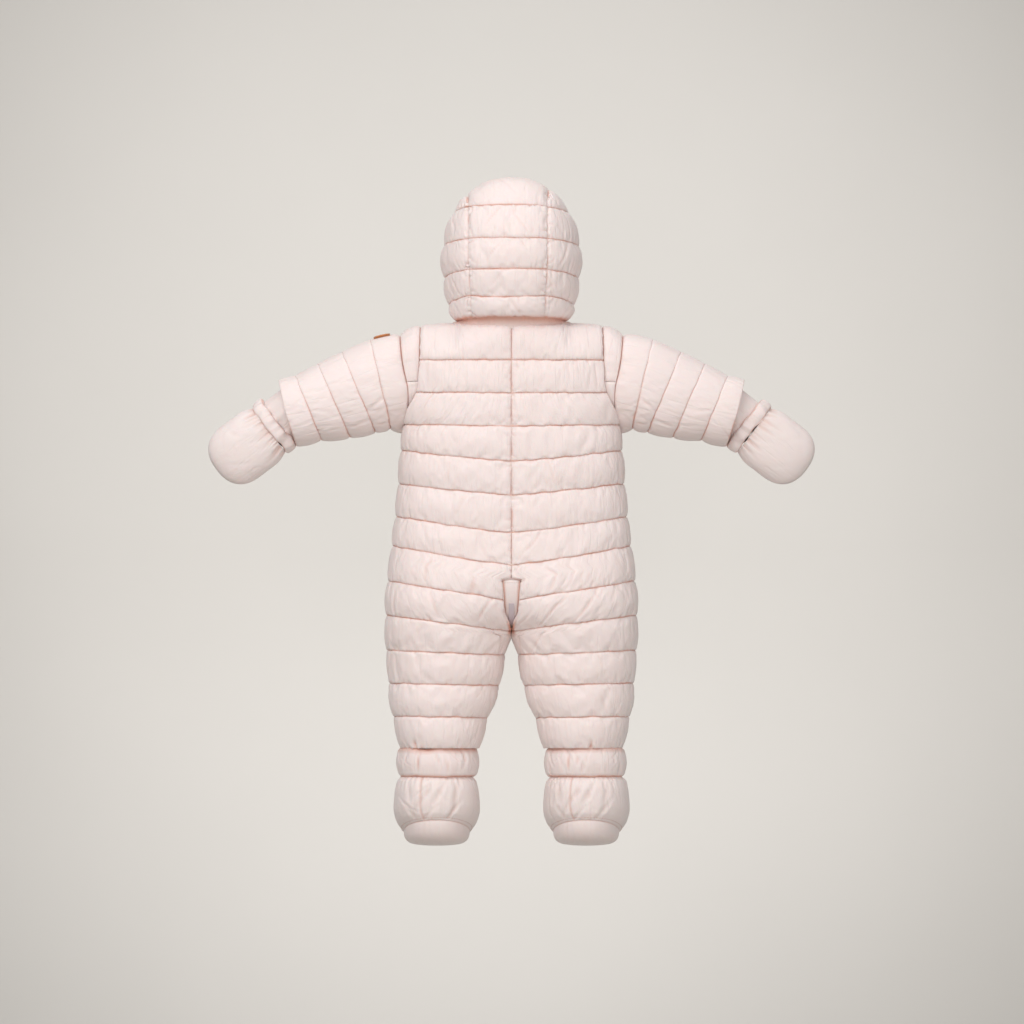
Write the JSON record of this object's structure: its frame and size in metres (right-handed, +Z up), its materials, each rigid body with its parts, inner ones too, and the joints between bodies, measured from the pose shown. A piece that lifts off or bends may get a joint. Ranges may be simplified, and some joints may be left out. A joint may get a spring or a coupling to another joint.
{
  "type": "baby snowsuit",
  "caption": "Hooded one-piece baby snowsuit in quilted down cloth, hollow and filled out, with fold-over mittens, booties and a front zip whose pull swings.",
  "frame": {"origin": "the middle of the shoulders, where the wearer holds the suit up", "axes": "+Z up towards the hood, +X to the wearer's left, +Y to the wearer's back; the zip is on -Y"},
  "size_m": [0.6974, 0.1681, 0.7693],
  "materials": {
    "quilted_cloth": "pale pink quilted nylon, softly shiny, over down",
    "plain_cloth": "the same nylon, unquilted",
    "tape": "matt lilac-grey woven tape",
    "leather": "smooth orange-brown leather",
    "metal": "satin pale metal"
  },
  "bodies": {
    "suit": {"ankle_cuff_left": "plain_cloth", "ankle_cuff_right": "plain_cloth", "back_left": "quilted_cloth", "back_right": "quilted_cloth", "bootie_cuff_left": "quilted_cloth", "bootie_cuff_right": "quilted_cloth", "bootie_sole_left": "plain_cloth", "bootie_sole_right": "plain_cloth", "bootie_upper_left": "quilted_cloth", "bootie_upper_right": "quilted_cloth", "collar": "plain_cloth", "front_left": "quilted_cloth", "front_right": "quilted_cloth", "gusset": "plain_cloth", "gusset_tab": "tape", "hood_centre": "quilted_cloth", "hood_side_left": "quilted_cloth", "hood_side_right": "quilted_cloth", "leather_patch": "leather", "mitten_back_left": "quilted_cloth", "mitten_back_right": "quilted_cloth", "mitten_band_left": "quilted_cloth", "mitten_band_right": "quilted_cloth", "mitten_palm_left": "quilted_cloth", "mitten_palm_right": "quilted_cloth", "shoulder_strip_left": "quilted_cloth", "shoulder_strip_right": "quilted_cloth", "sleeve_inner_cuff_left": "plain_cloth", "sleeve_inner_cuff_right": "plain_cloth", "sleeve_left": "quilted_cloth", "sleeve_right": "quilted_cloth", "strip_tip_back_left": "quilted_cloth", "strip_tip_back_right": "quilted_cloth", "strip_tip_front_left": "quilted_cloth", "strip_tip_front_right": "quilted_cloth", "zip_slider": "metal", "zip_tape_left": "tape", "zip_tape_right": "tape"},
    "pull": {"zip_pull": "metal"}
  },
  "joints": [
    {"name": "pull_swing", "type": "hinge", "parent": "suit", "child": "pull", "pos_m": [0, -0.05976, -0.0071], "axis": [-1, 0, 0], "range_deg": [0, 150]}
  ]
}
